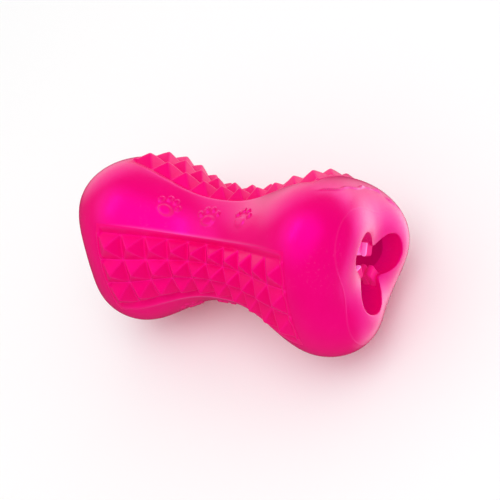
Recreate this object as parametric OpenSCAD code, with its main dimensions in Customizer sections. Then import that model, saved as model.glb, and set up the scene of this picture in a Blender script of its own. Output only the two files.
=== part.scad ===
// Hollow rubber treat toy in the form of a three-lobed bone.
// It lies along X on its base panel of studs, with one smooth band on top.
// Every patch of the moulding is cut from the same two surfaces, an outer skin and an
// inner wall, so neighbouring patches share their borders.

/* [Body] */
// Overall length of the toy
toy_l = 115; // [100:1:130]
// Radius of a lobe at the fullest section of each end
lobe_r = 32.3; // [30.5:0.1:36]
// Radius of the hollow between two lobes at the fullest section
valley_r = 28.3; // [26:0.1:31]
// Radius of a lobe at the waist
waist_lobe_r = 19.8; // [17:0.1:24]
// Radius between two lobes at the waist
waist_valley_r = 20.3; // [17.5:0.1:24]

/* [Ends] */
// Distance from the fullest section out to the tip of a lobe
lobe_reach = 17.9; // [15:0.1:22]
// Distance from the tip of a lobe back to the end face between two lobes
valley_setback = 2.3; // [1.5:0.1:4]
// Radius around the axis at which a lobe comes to its tip
lobe_tip_r = 17.5; // [16:0.1:20]
// Radius around the axis at which the hollow between two lobes reaches the end face
valley_tip_r = 12.5; // [10:0.1:15]
// Distance from the end face between two lobes back to the parting ring of the mould
ring_setback = 0.9; // [0.5:0.1:3]

/* [Mouth] */
// Radius of the mouth at each of its three lobes
mouth_lobe_r = 15.6; // [13:0.1:18]
// Radius of the mouth at its three narrow points
mouth_valley_r = 6.7; // [5.5:0.1:8]
// Depth of the thick collar around the mouth
collar_depth = 7.5; // [7:0.1:9]

/* [Wall] */
// Thickness of the rubber wall under the smooth bands
wall = 5; // [3.5:0.1:6]

/* [Bands and panels] */
// Half angle of a smooth band at the waist
band_waist_angle = 23; // [18:0.5:28]
// Half angle of a smooth band at its ends
band_end_angle = 24.5; // [18:0.5:28]
// Angle taken by the sloped step from a band down to a panel
step_angle = 5.6; // [3:0.1:8]
// Length of the sloped step at each end of a panel
end_step = 1; // [0.5:0.1:2]
// Depth of a panel below the skin at the waist
waist_recess = 2; // [1:0.1:2.2]
// Depth of a panel below the skin at its ends
end_recess = 0.8; // [0.4:0.1:1.6]

/* [Studs] */
// Columns of pyramid studs along a panel
stud_cols = 10; // [8:2:12]
// Rows of pyramid studs across a panel
stud_rows = 3; // [2:1:4]
// Height of a stud at the waist
waist_stud_h = 3.8; // [2.5:0.1:4.5]
// Height of a stud at the ends of a panel
end_stud_h = 3.6; // [2.5:0.1:4.5]

/* [Fins] */
// Thickness of a fin along the toy
fin_t = 2.2; // [1.6:0.1:2.3]
// Width of a fin across the mouth
fin_w = 4; // [3:0.1:4.8]
// Radius left clear between the tips of the fins
fin_clear_r = 3; // [2.8:0.1:4]
// Radius of the flat seat that the fins stand on
fin_seat_r = 9.3; // [9:0.1:10]
// Gap between the two fins of a pair
fin_gap = 0.6; // [0.5:0.1:0.9]
// Gap between a fin and the rubber next to it
fin_play = 0.3; // [0.2:0.05:0.4]
// Thickness of the lip in front of the fins at its edge
lip_t = 0.8; // [0.6:0.1:1.2]

/* [Hidden] */

// Colours of the moulding
band_pink = [0.93, 0.07, 0.49];
panel_pink = [0.86, 0.03, 0.40];
mouth_pink = [0.90, 0.05, 0.44];
fin_pink = [0.95, 0.25, 0.62];

// Directions around the toy, from the top lobe towards the front
lobe_n = 3;
lobe_pitch = 360 / lobe_n;
front_a = lobe_pitch / 2;
base_a = front_a + lobe_pitch;
back_a = base_a + lobe_pitch;

// How sharply the lobes, the waist, the flare and the mouth swell, as powers of their shares
full_swell_share = 1.1;
waist_swell_share = 0.9;
flare_share = 1.2;
mouth_swell_share = 1.6;
// Share by which the columns of studs widen towards the ends
spread_share = 0.02;

// Places along the toy
half_l = toy_l / 2;
full_x = half_l - lobe_reach;
panel_x = full_x - end_step;
ring_x = half_l - valley_setback - ring_setback;

// Stations along the toy, counted from the middle: half columns, step, shoulder,
// parting ring out to the crest of the end, crest in to the edge of the mouth
col_i = stud_cols;
edge_i = col_i + 1;
shoulder_n = 9;
ring_i = edge_i + shoulder_n;
crest_n = 5;
crest_i = ring_i + crest_n;
lip_n = 3;
rim_i = crest_i + lip_n;

// Stations around one third of the toy: band, step, half rows of studs, step
band_n = 8;
row_n = 2 * stud_rows;
third_n = band_n + 1 + row_n + 1;
// Stations around a whole end
end_n = 60;

// Share of the way from a valley, 0, to the middle of a lobe, 1
function lobe_share(a, power) = pow(max(0, (1 + cos(lobe_n * a)) / 2), power);
function blend(low, high, share) = low + (high - low) * share;

// Half sections of the end at the angle a around the toy
function full_r(a) = blend(valley_r, lobe_r, lobe_share(a, full_swell_share));
function waist_r(a) = blend(waist_valley_r, waist_lobe_r, lobe_share(a, waist_swell_share));
function reach(a) = lobe_reach - valley_setback * (1 - lobe_share(a, full_swell_share));
function tip_r(a) = blend(valley_tip_r, lobe_tip_r, lobe_share(a, full_swell_share));
function mouth_r(a) =
    blend(mouth_lobe_r, mouth_valley_r, pow(1 - lobe_share(a, 1), mouth_swell_share));

// Radius of the smooth skin between the two fullest sections
function flare(x) = (1 - cos(180 * pow(min(1, abs(x) / full_x), flare_share))) / 2;
function skin_r(x, a) = blend(waist_r(a), full_r(a), flare(x));

// Place along the toy of station i, inside the panels
function column_x(i) =
    let (u = i / col_i)
    i >= edge_i ? full_x : i <= -edge_i ? -full_x : panel_x * blend(u, pow(u, 3), spread_share);

// Share of the way from the waist to the end of a panel, squared
function end_share(i) = pow(min(1, abs(column_x(i)) / panel_x), 2);

// Angle around the toy of station m in the third that starts at the lobe number k
function around_a(i, k, m) =
    let (
        half_a = blend(band_waist_angle, band_end_angle, end_share(i)),
        first_a = half_a + step_angle,
        last_a = lobe_pitch - first_a
    )
    k * lobe_pitch + (
        m <= band_n ? blend(-half_a, half_a, m / band_n)
        : m < third_n ? blend(first_a, last_a, (m - band_n - 1) / row_n)
        : lobe_pitch - half_a
    );

// Half rows from the edge of a panel to station m, which lies on a band when it is negative
function half_row(m) = m < third_n ? m - band_n - 1 : -1;

// Radius of the outer surface at a station inside the panels, with recess and studs
function surface_r(i, k, m) =
    let (
        skin = skin_r(column_x(i), around_a(i, k, m)),
        recess = blend(waist_recess, end_recess, end_share(i)),
        stud = blend(waist_stud_h, end_stud_h, end_share(i)),
        peak = abs(i) % 2 == 1 && half_row(m) % 2 == 1
    )
    half_row(m) < 0 || abs(i) > col_i ? skin : skin - recess + (peak ? stud : 0);

// Height of the toy's axis over its lowest points, the tips of the base studs near the ends
axis_z = max([
    for (i = [0:edge_i], k = [0:lobe_n - 1], m = [0:third_n])
        -surface_r(i, k, m) * cos(around_a(i, k, m))
]);

// A point from its place along the toy, its radius and its angle
function at(x, r, a) = [x, -r * sin(a), axis_z + r * cos(a)];

// Turn of the end section, from 0 at the fullest section to the edge of the mouth
function ring_turn(a) = asin((ring_x - full_x) / reach(a));
function rim_turn(a, in_r) = acos((mouth_r(a) - tip_r(a)) / (full_r(a) - in_r - tip_r(a)));
function end_turn(i, a, in_r) =
    let (
        ring_a = ring_turn(a),
        rim_a = rim_turn(a, in_r),
        crest_a = min(90, rim_a)
    )
    abs(i) <= ring_i ? ring_a * (abs(i) - edge_i) / shoulder_n
    : abs(i) <= crest_i ? blend(ring_a, crest_a, (abs(i) - ring_i) / crest_n)
    : blend(crest_a, rim_a, (abs(i) - crest_i) / lip_n);

// Point of the end section at station i, with the rubber in_x and in_r thinner than the outside
function end_point(i, a, in_x, in_r) =
    let (turn = end_turn(i, a, in_r))
    at(
        sign(i) * (full_x + (reach(a) - in_x) * sin(turn)),
        tip_r(a) + (full_r(a) - in_r - tip_r(a)) * cos(turn),
        a
    );

// Two triangles over four corners named against the clock, cut along one diagonal or the other
function two_faces(p, q, r, s, first) = first ? [[r, q, p], [s, r, p]] : [[s, q, p], [s, r, q]];

// A closed shell between two grids of points, rows along the toy and columns around it
module shell(skin, lining, all_round) {
    row_last = len(skin) - 1;
    col_count = len(skin[0]);
    col_last = all_round ? col_count : col_count - 1;
    skin_count = len(skin) * col_count;
    function out_k(i, j) = i * col_count + j % col_count;
    function in_k(i, j) = skin_count + out_k(i, j);
    skin_faces = [
        for (i = [0:row_last - 1], j = [0:col_last - 1])
            each two_faces(out_k(i, j), out_k(i, j + 1), out_k(i + 1, j + 1), out_k(i + 1, j),
                (i + j) % 2 == 0)
    ];
    lining_faces = [
        for (i = [0:row_last - 1], j = [0:col_last - 1])
            each two_faces(in_k(i, j), in_k(i + 1, j), in_k(i + 1, j + 1), in_k(i, j + 1), true)
    ];
    low_end = [
        for (j = [0:col_last - 1])
            each two_faces(in_k(0, j), in_k(0, j + 1), out_k(0, j + 1), out_k(0, j), true)
    ];
    high_end = [
        for (j = [0:col_last - 1])
            each two_faces(in_k(row_last, j), out_k(row_last, j), out_k(row_last, j + 1),
                in_k(row_last, j + 1), true)
    ];
    low_side = [
        for (i = [0:row_last - 1])
            each two_faces(in_k(i, 0), out_k(i, 0), out_k(i + 1, 0), in_k(i + 1, 0), true)
    ];
    high_side = [
        for (i = [0:row_last - 1])
            each two_faces(in_k(i, col_last), in_k(i + 1, col_last), out_k(i + 1, col_last),
                out_k(i, col_last), true)
    ];
    sides = all_round ? [] : concat(low_side, high_side);
    polyhedron(
        points = [for (row = skin) each row, for (row = lining) each row],
        faces = concat(skin_faces, lining_faces, low_end, high_end, sides)
    );
}

// Patch of the body between stations m0 and m1 around, after the lobe number k
module body_patch(k, m0, m1) {
    skin = [
        for (i = [-edge_i:edge_i]) [
            for (m = [m0:m1]) at(column_x(i), surface_r(i, k, m), around_a(i, k, m))
        ]
    ];
    lining = [
        for (i = [-edge_i:edge_i]) [
            for (m = [m0:m1])
                at(column_x(i), skin_r(column_x(i), around_a(i, k, m)) - wall, around_a(i, k, m))
        ]
    ];
    shell(skin, lining, false);
}

// Patch of an end between stations i0 and i1 along the toy
module end_patch(i0, i1) {
    angles = [for (j = [0:end_n - 1]) 360 * j / end_n];
    skin = [for (i = [i0:i1]) [for (a = angles) end_point(i, a, 0, 0)]];
    lining = [for (i = [i0:i1]) [for (a = angles) end_point(i, a, collar_depth, wall)]];
    shell(skin, lining, true);
}

// Smooth band over the lobe number k
module band(k) {
    color(band_pink) body_patch(k, 0, band_n);
}

// Sunk panel with its pyramid studs after the lobe number k
module stud_panel(k) {
    color(panel_pink) body_patch(k, band_n, third_n);
}

// Rounded shoulder from the panels out to the parting ring
module shoulder(side) {
    color(band_pink) end_patch(side > 0 ? edge_i : -ring_i, side > 0 ? ring_i : -edge_i);
}

// Sizes of the fins, worked out from the mouth's narrow points
lip_x = full_x + reach(front_a) * sin(rim_turn(front_a, 0)) - lip_t;
fin_h = fin_seat_r - fin_play - fin_clear_r;
fin_hinge_r = fin_seat_r - fin_play - fin_t / 2;
outer_fin_x = lip_x - fin_play - fin_t / 2;
inner_fin_x = outer_fin_x - fin_t - fin_gap;
seat_l = 2 * collar_depth;
seat_w = 2 * fin_w;

// The place behind the mouth's narrow point at the angle a, X outwards and Z away from the axis
module at_narrow_point(side, a) {
    translate([0, 0, axis_z]) rotate([a, 0, 0])
        mirror([side < 0 ? 1 : 0, 0, 0]) children();
}

// Space cut behind the lip for a pair of fins, up to the flat seat
module fin_space() {
    translate([lip_x - seat_l, -seat_w / 2, 0]) cube([seat_l, seat_w, fin_seat_r]);
}

// End face inside the parting ring, with the three-lobed mouth and a seat for each pair of fins
module mouth_ring(side) {
    color(mouth_pink) difference() {
        end_patch(side > 0 ? ring_i : -rim_i, side > 0 ? rim_i : -ring_i);
        for (a = [front_a, base_a, back_a]) at_narrow_point(side, a) fin_space();
    }
}

// Outline of a fin from its side: round at the root and at the tip
module fin_outline() {
    translate([-fin_t / 2, fin_clear_r + fin_t / 2]) square([fin_t, fin_h - fin_t]);
    translate([0, fin_clear_r + fin_t / 2]) circle(d = fin_t, $fn = 32);
    translate([0, fin_hinge_r]) circle(d = fin_t, $fn = 32);
}

// Soft fin standing at the place x along the toy, at the angle a around it
module fin(side, a, x) {
    color(fin_pink) at_narrow_point(side, a) translate([x, fin_w / 2, 0])
        rotate([90, 0, 0]) linear_extrude(fin_w) fin_outline();
}

module band_top() { band(0); }
module band_front() { band(1); }
module band_back() { band(2); }
module stud_panel_front() { stud_panel(0); }
module stud_panel_base() { stud_panel(1); }
module stud_panel_back() { stud_panel(2); }
module shoulder_right() { shoulder(1); }
module shoulder_left() { shoulder(-1); }
module mouth_ring_right() { mouth_ring(1); }
module mouth_ring_left() { mouth_ring(-1); }
module fin_right_front_outer() { fin(1, front_a, outer_fin_x); }
module fin_right_front_inner() { fin(1, front_a, inner_fin_x); }
module fin_right_base_outer() { fin(1, base_a, outer_fin_x); }
module fin_right_base_inner() { fin(1, base_a, inner_fin_x); }
module fin_right_back_outer() { fin(1, back_a, outer_fin_x); }
module fin_right_back_inner() { fin(1, back_a, inner_fin_x); }
module fin_left_front_outer() { fin(-1, front_a, outer_fin_x); }
module fin_left_front_inner() { fin(-1, front_a, inner_fin_x); }
module fin_left_base_outer() { fin(-1, base_a, outer_fin_x); }
module fin_left_base_inner() { fin(-1, base_a, inner_fin_x); }
module fin_left_back_outer() { fin(-1, back_a, outer_fin_x); }
module fin_left_back_inner() { fin(-1, back_a, inner_fin_x); }

band_top();
band_front();
band_back();
stud_panel_front();
stud_panel_base();
stud_panel_back();
shoulder_right();
shoulder_left();
mouth_ring_right();
mouth_ring_left();
fin_right_front_outer();
fin_right_front_inner();
fin_right_base_outer();
fin_right_base_inner();
fin_right_back_outer();
fin_right_back_inner();
fin_left_front_outer();
fin_left_front_inner();
fin_left_base_outer();
fin_left_base_inner();
fin_left_back_outer();
fin_left_back_inner();
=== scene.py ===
"""Dresses the hollow rubber chew toy: its studded shell, its finned mouths and a plain studio."""

import logging
import math
from collections.abc import Callable, Sequence
from dataclasses import dataclass
from enum import Enum
from functools import lru_cache
from itertools import pairwise, product
from typing import Any

import bmesh
import bpy
from mathutils import Matrix, Vector, noise
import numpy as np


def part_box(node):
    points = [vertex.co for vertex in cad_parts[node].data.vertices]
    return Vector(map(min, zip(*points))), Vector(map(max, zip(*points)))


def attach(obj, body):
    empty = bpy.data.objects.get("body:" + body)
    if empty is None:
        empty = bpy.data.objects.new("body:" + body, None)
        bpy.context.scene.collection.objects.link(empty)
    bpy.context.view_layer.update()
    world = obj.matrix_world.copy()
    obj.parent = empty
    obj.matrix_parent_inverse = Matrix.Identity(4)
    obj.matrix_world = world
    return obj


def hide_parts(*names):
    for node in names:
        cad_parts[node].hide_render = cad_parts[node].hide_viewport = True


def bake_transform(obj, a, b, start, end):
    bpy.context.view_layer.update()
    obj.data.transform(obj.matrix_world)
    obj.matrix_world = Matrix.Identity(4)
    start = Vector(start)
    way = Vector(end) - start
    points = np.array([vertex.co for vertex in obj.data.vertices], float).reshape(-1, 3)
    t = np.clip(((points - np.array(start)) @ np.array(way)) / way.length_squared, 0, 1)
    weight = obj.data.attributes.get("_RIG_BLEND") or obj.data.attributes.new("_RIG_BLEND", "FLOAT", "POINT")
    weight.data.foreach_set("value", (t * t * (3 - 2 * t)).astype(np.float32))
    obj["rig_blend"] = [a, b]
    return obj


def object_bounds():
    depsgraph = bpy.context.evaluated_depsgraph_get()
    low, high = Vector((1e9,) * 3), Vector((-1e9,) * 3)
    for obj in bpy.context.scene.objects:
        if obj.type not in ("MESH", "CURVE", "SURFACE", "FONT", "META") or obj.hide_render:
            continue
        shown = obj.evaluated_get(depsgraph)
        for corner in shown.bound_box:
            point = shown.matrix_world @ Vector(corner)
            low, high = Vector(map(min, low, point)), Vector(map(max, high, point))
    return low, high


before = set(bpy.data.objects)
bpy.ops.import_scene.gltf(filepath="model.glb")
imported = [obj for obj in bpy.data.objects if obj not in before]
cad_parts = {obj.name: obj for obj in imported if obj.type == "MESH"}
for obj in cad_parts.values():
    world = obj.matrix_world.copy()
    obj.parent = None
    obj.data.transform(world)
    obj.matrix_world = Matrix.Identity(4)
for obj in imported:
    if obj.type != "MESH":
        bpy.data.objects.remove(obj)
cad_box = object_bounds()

LOG = logging.getLogger("chew_toy")
MM = 0.001
MERGE_DISTANCE = 0.002 * MM
SHARP_ANGLE = math.radians(52)
# Layers of painted light on the points: a share of lighter colour painted on edges, ridges and tips as
# highlights, and a share of painted glow, an emission that stands in for light through the rubber
PAINTED_HIGHLIGHT_LAYER = "painted_highlight"
PAINTED_GLOW_LAYER = "painted_glow"
TINY_SHARE = 0.001
# The Mix node gives its sockets for numbers, vectors and colours the same names
MIX_SHARE, MIX_LOW_COLOUR, MIX_HIGH_COLOUR, MIX_COLOUR_RESULT = 0, 6, 7, 2

Colour = tuple[float, float, float]
# Middle to the right and up, then half width and half height
Oval = tuple[float, float, float, float]
Values = dict[Any, Any] | None


class Side(Enum):
    """The two ends of the toy, by their direction along X."""

    RIGHT = 1
    LEFT = -1


class Lobe(Enum):
    """The three lobes and bands, by their number around the toy from the top."""

    TOP = 0
    FRONT = 1
    BACK = 2


class Hollow(Enum):
    """The three hollows between the lobes, by their number around the toy."""

    FRONT = 0
    BASE = 1
    BACK = 2


class Layer(Enum):
    """The two fins of a pair, by their order inwards from the lip."""

    OUTER = 0
    INNER = 1


class LightUse(Enum):
    """What a softbox lights: both matt and glossy looks, or one of the two alone."""

    BOTH = "both"
    MATT = "matt"
    GLOSS = "gloss"


@dataclass(frozen=True)
class Spot:
    """A point of a surface, its share of painted highlight, and its share of painted glow, an emission that
    stands in for light through the rubber.
    """

    place: Vector
    light: float = 0.0
    glow: float = 0.0


Surface = Callable[[float, float], Spot]


def blend(low: float, high: float, share: float) -> float:
    """Value that lies the given share of the way from low to high."""
    return low + (high - low) * share


def smooth(share: float) -> float:
    """Share with soft starts and stops, held between 0 and 1."""
    held = max(0.0, min(1.0, share))
    return held * held * (3 - 2 * held)


def soft_max(first: float, second: float, width: float) -> float:
    """Larger of two values, rounded over where they are closer than the width."""
    near = max(width - abs(first - second), 0.0)
    return max(first, second) + near * near / (4 * width)


def hump(distance: float, width: float) -> float:
    """Height of a soft bead, 1 at its middle, at a distance from that middle."""
    return math.exp(-((distance / width) ** 2))


def ruler(*stretches: tuple[float, float, int]) -> list[float]:
    """Lays out stations in a row.

    Args:
        stretches: Start, stop and number of steps of each stretch, one after the other.

    Returns:
        The stations, with each place where two stretches meet given once.
    """
    marks = [stretches[0][0]]
    for start, stop, steps in stretches:
        marks += [blend(start, stop, step / steps) for step in range(1, steps + 1)]
    return marks


def add_object(data: bpy.types.ID) -> bpy.types.Object:
    """Adds to the scene an object that holds the data and has its name.

    Args:
        data: A mesh, a camera or a light.

    Returns:
        The new object.
    """
    added = bpy.data.objects.new(data.name, data)
    bpy.context.scene.collection.objects.link(added)
    return added


def stand(place: Vector, right: Vector, up: Vector, back: Vector) -> Matrix:
    """Matrix that puts an object at a place, turned to three directions."""
    return Matrix.Translation(place) @ Matrix((right, up, back)).transposed().to_4x4()


@lru_cache(maxsize=None)
def lobe_swing(count: int, angle: float, power: float) -> float:
    """Share of the way from a hollow, 0, to the middle of a lobe, 1, flat near the hollow."""
    return max(0.0, (1 + math.cos(math.radians(count * angle))) / 2) ** power


@dataclass(frozen=True)
class BoneForm:
    """Sizes of the moulding, in metres and degrees, and the surfaces that follow from them.

    Angles run around the toy from its top lobe towards the front. Columns count half studs
    along the toy from its middle, and rows count stations around one third of it.
    """

    axis_z: float
    half_length: float
    lobe_r: float = 32.3 * MM
    hollow_r: float = 28.3 * MM
    waist_lobe_r: float = 19.8 * MM
    waist_hollow_r: float = 20.3 * MM
    lobe_reach: float = 17.9 * MM
    hollow_setback: float = 2.3 * MM
    lobe_tip_r: float = 17.5 * MM
    hollow_tip_r: float = 12.5 * MM
    ring_setback: float = 0.9 * MM
    mouth_lobe_r: float = 15.6 * MM
    mouth_narrow_r: float = 6.7 * MM
    collar_depth: float = 7.5 * MM
    lip_t: float = 0.8 * MM
    seat_r: float = 9.3 * MM
    wall: float = 5 * MM
    band_waist_angle: float = 23.0
    band_end_angle: float = 24.5
    step_angle: float = 5.6
    end_step: float = 1 * MM
    waist_recess: float = 2 * MM
    end_recess: float = 0.8 * MM
    waist_stud_h: float = 3.8 * MM
    end_stud_h: float = 3.6 * MM
    stud_columns: int = 10
    stud_rows: int = 3
    lobe_count: int = 3
    band_rows: int = 8
    full_swell: float = 1.1
    waist_swell: float = 0.9
    flare_power: float = 1.2
    mouth_swell: float = 1.6
    column_spread: float = 0.02

    @property
    def pitch(self) -> float:
        """Angle from one lobe to the next."""
        return 360 / self.lobe_count

    @property
    def full_x(self) -> float:
        """Distance of the fullest section from the middle."""
        return self.half_length - self.lobe_reach

    @property
    def panel_x(self) -> float:
        """Distance of the end of a sunk panel from the middle."""
        return self.full_x - self.end_step

    @property
    def ring_x(self) -> float:
        """Distance of the mould's parting ring from the middle."""
        return self.half_length - self.hollow_setback - self.ring_setback

    @property
    def lip_x(self) -> float:
        """Distance of the back of the mouth's lip from the middle, where it is furthest in."""
        narrow = self.pitch / 2
        return self.section(narrow, self.turn_at(self.mouth_narrow_r, narrow))[0] - self.lip_t

    @property
    def first_stud_row(self) -> int:
        """Station around a third of the toy where the studs start."""
        return self.band_rows + 1

    @property
    def last_stud_row(self) -> int:
        """Station around a third of the toy where the studs stop."""
        return self.first_stud_row + 2 * self.stud_rows

    def lobe_share(self, angle: float, power: float) -> float:
        """Share of the way from a hollow, 0, to the middle of a lobe, 1."""
        return lobe_swing(self.lobe_count, angle, power)

    def full_radius(self, angle: float) -> float:
        """Radius of the fullest section."""
        return blend(self.hollow_r, self.lobe_r, self.lobe_share(angle, self.full_swell))

    def waist_radius(self, angle: float) -> float:
        """Radius of the waist."""
        share = self.lobe_share(angle, self.waist_swell)
        return blend(self.waist_hollow_r, self.waist_lobe_r, share)

    def reach(self, angle: float) -> float:
        """Distance from the fullest section out to the end face."""
        return self.lobe_reach - self.hollow_setback * (1 - self.lobe_share(angle, self.full_swell))

    def tip_radius(self, angle: float) -> float:
        """Radius at which the end reaches furthest out."""
        share = self.lobe_share(angle, self.full_swell)
        return blend(self.hollow_tip_r, self.lobe_tip_r, share)

    def mouth_radius(self, angle: float) -> float:
        """Radius of the mouth."""
        share = (1 - self.lobe_share(angle, 1)) ** self.mouth_swell
        return blend(self.mouth_lobe_r, self.mouth_narrow_r, share)

    def skin_radius(self, x: float, angle: float) -> float:
        """Radius of the smooth skin between the two fullest sections.

        Args:
            x: Place along the toy.
            angle: Angle around the toy.

        Returns:
            The radius.
        """
        along = min(1.0, abs(x) / self.full_x) ** self.flare_power
        flare = (1 - math.cos(math.pi * along)) / 2
        return blend(self.waist_radius(angle), self.full_radius(angle), flare)

    def column_x(self, column: float) -> float:
        """Place along the toy of a column.

        Args:
            column: Column, past the last one out to the fullest section.

        Returns:
            The place.
        """
        share = column / self.stud_columns
        if abs(share) > 1:
            past = abs(column) - self.stud_columns
            return math.copysign(blend(self.panel_x, self.full_x, past), column)
        return self.panel_x * blend(share, share**3, self.column_spread)

    def end_share(self, x: float) -> float:
        """Squared share of the way from the waist to the end of a panel."""
        return min(1.0, abs(x) / self.panel_x) ** 2

    def row_angle(self, x: float, lobe: int, row: float) -> float:
        """Angle around the toy of a row in the third that starts at a lobe.

        Args:
            x: Place along the toy.
            lobe: Number of the lobe.
            row: Station around the third.

        Returns:
            The angle.
        """
        half = blend(self.band_waist_angle, self.band_end_angle, self.end_share(x))
        foot = half + self.step_angle
        marks = (
            (0, -half),
            (self.band_rows, half),
            (self.first_stud_row, foot),
            (self.last_stud_row, self.pitch - foot),
            (self.last_stud_row + 1, self.pitch - half),
        )
        (low, start), (high, stop) = next(pair for pair in pairwise(marks) if row <= pair[1][0])
        return lobe * self.pitch + blend(start, stop, (row - low) / (high - low))

    def at(self, x: float, radius: float, angle: float) -> Vector:
        """Point from its place along the toy, its radius and its angle."""
        turn = math.radians(angle)
        return Vector((x, -radius * math.sin(turn), self.axis_z + radius * math.cos(turn)))

    def turn_at(self, radius: float, angle: float, inset: float = 0.0) -> float:
        """Turn of the end section, in radians, where it comes in to a radius."""
        tip = self.tip_radius(angle)
        return math.acos((radius - tip) / (self.full_radius(angle) - inset - tip))

    def ring_turn(self, angle: float) -> float:
        """Turn of the end section at the parting ring, in radians."""
        return math.asin((self.ring_x - self.full_x) / self.reach(angle))

    def section(
        self, angle: float, turn: float, in_x: float = 0.0, inset: float = 0.0, lift: float = 0.0
    ) -> tuple[float, float]:
        """Place and radius on the rounded section of an end.

        Args:
            angle: Angle around the toy.
            turn: Turn from the fullest section, in radians.
            in_x: How much less far the section reaches out, as the lining does.
            inset: How much smaller its radius is, as the lining's is.
            lift: Height above the section.

        Returns:
            Distance from the middle of the toy, and radius.
        """
        tip = self.tip_radius(angle)
        out = self.full_x + (self.reach(angle) - in_x) * math.sin(turn)
        radius = tip + (self.full_radius(angle) - inset - tip) * math.cos(turn)
        return out + lift * math.sin(turn), radius + lift * math.cos(turn)


@dataclass(frozen=True)
class Stud:
    """A blunt pyramid on a square cell, in shares of half the cell."""

    gap: float = 0.012
    ridge_width: float = 0.09
    tip_width: float = 0.05
    foot_width: float = 0.05
    line_width: float = 0.045
    full_height: float = 0.98

    def steepness(self, along: float, across: float) -> float:
        """How far out a point lies, 0 near the tip and 1 at the foot.

        Args:
            along: Place along the cell, from -1 to 1.
            across: Place across it, from -1 to 1.

        Returns:
            The share.
        """
        grown = 1 + self.gap
        first = math.hypot(along * grown, self.tip_width)
        second = math.hypot(across * grown, self.tip_width)
        return soft_max(first, second, self.ridge_width)

    def height(self, along: float, across: float) -> float:
        """Share of the sharp pyramid's height, 0 between the pyramids.

        Args:
            along: Place along the cell, from -1 to 1.
            across: Place across it, from -1 to 1.

        Returns:
            The share.
        """
        tip = 1 - self.steepness(0, 0)
        rise = soft_max(1 - self.steepness(along, across), 0.0, self.foot_width)
        return self.full_height * rise / tip

    def light(self, along: float, across: float) -> float:
        """Painted highlight of a point on a ridge or at the tip, a lighter colour that stands in for the
        light these catch.

        Args:
            along: Place along the cell, from -1 to 1.
            across: Place across it, from -1 to 1.

        Returns:
            The share of painted highlight, from 0 to 1.
        """
        off_ridge = abs(abs(along) - abs(across))
        inside = smooth((1 - max(abs(along), abs(across))) / self.foot_width)
        return hump(off_ridge, self.line_width) * inside

    def valley(self, along: float, across: float) -> float:
        """Share of painted glow and painted light at a point in the valleys between two studs, lifting the
        shade that falls there.
        """
        return hump(1 - max(abs(along), abs(across)), self.line_width)


@dataclass(frozen=True)
class PawRelief:
    """Raised paw prints in a row along a band."""

    places: tuple[float, ...] = (-16.5 * MM, -1 * MM, 14.5 * MM)
    tilts: tuple[float, ...] = (-14.0, 10.0, -12.0)
    height: float = 0.6 * MM
    edge_share: float = 0.36
    # Share of painted highlight on the rounded edges of the pads
    glint: float = 0.2
    pad: Oval = (0.0, -1.7 * MM, 2.9 * MM, 2.2 * MM)
    inner_toe: Oval = (1.2 * MM, 2.75 * MM, 1.0 * MM, 1.4 * MM)
    outer_toe: Oval = (3.35 * MM, 1.0 * MM, 1.0 * MM, 1.35 * MM)
    room: float = 6.5 * MM

    def inside(self, x: float, arc: float) -> float:
        """How far inside a paw print a point lies, in shares of a pad's size.

        Args:
            x: Place along the toy.
            arc: Distance around the toy from the middle of the band.

        Returns:
            More than 0 inside a pad, and less than 0 outside all pads.
        """
        deepest = -1.0
        for place, tilt in zip(self.places, self.tilts):
            if abs(x - place) > self.room or abs(arc) > self.room:
                continue
            turn = math.radians(tilt)
            aside = abs((x - place) * math.cos(turn) - arc * math.sin(turn))
            up = -(x - place) * math.sin(turn) - arc * math.cos(turn)
            for mid_x, mid_y, half_w, half_h in (self.pad, self.inner_toe, self.outer_toe):
                outside = math.hypot((aside - mid_x) / half_w, (up - mid_y) / half_h)
                deepest = max(deepest, 1 - outside)
        return deepest

    def rise(self, x: float, arc: float) -> float:
        """Height of the relief over the band."""
        return self.height * smooth(self.inside(x, arc) / self.edge_share)

    def light(self, x: float, arc: float) -> float:
        """Painted highlight on the rounded edge of a pad, standing in for the light it catches."""
        return hump(self.inside(x, arc) - self.edge_share / 2, self.edge_share / 2)


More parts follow.
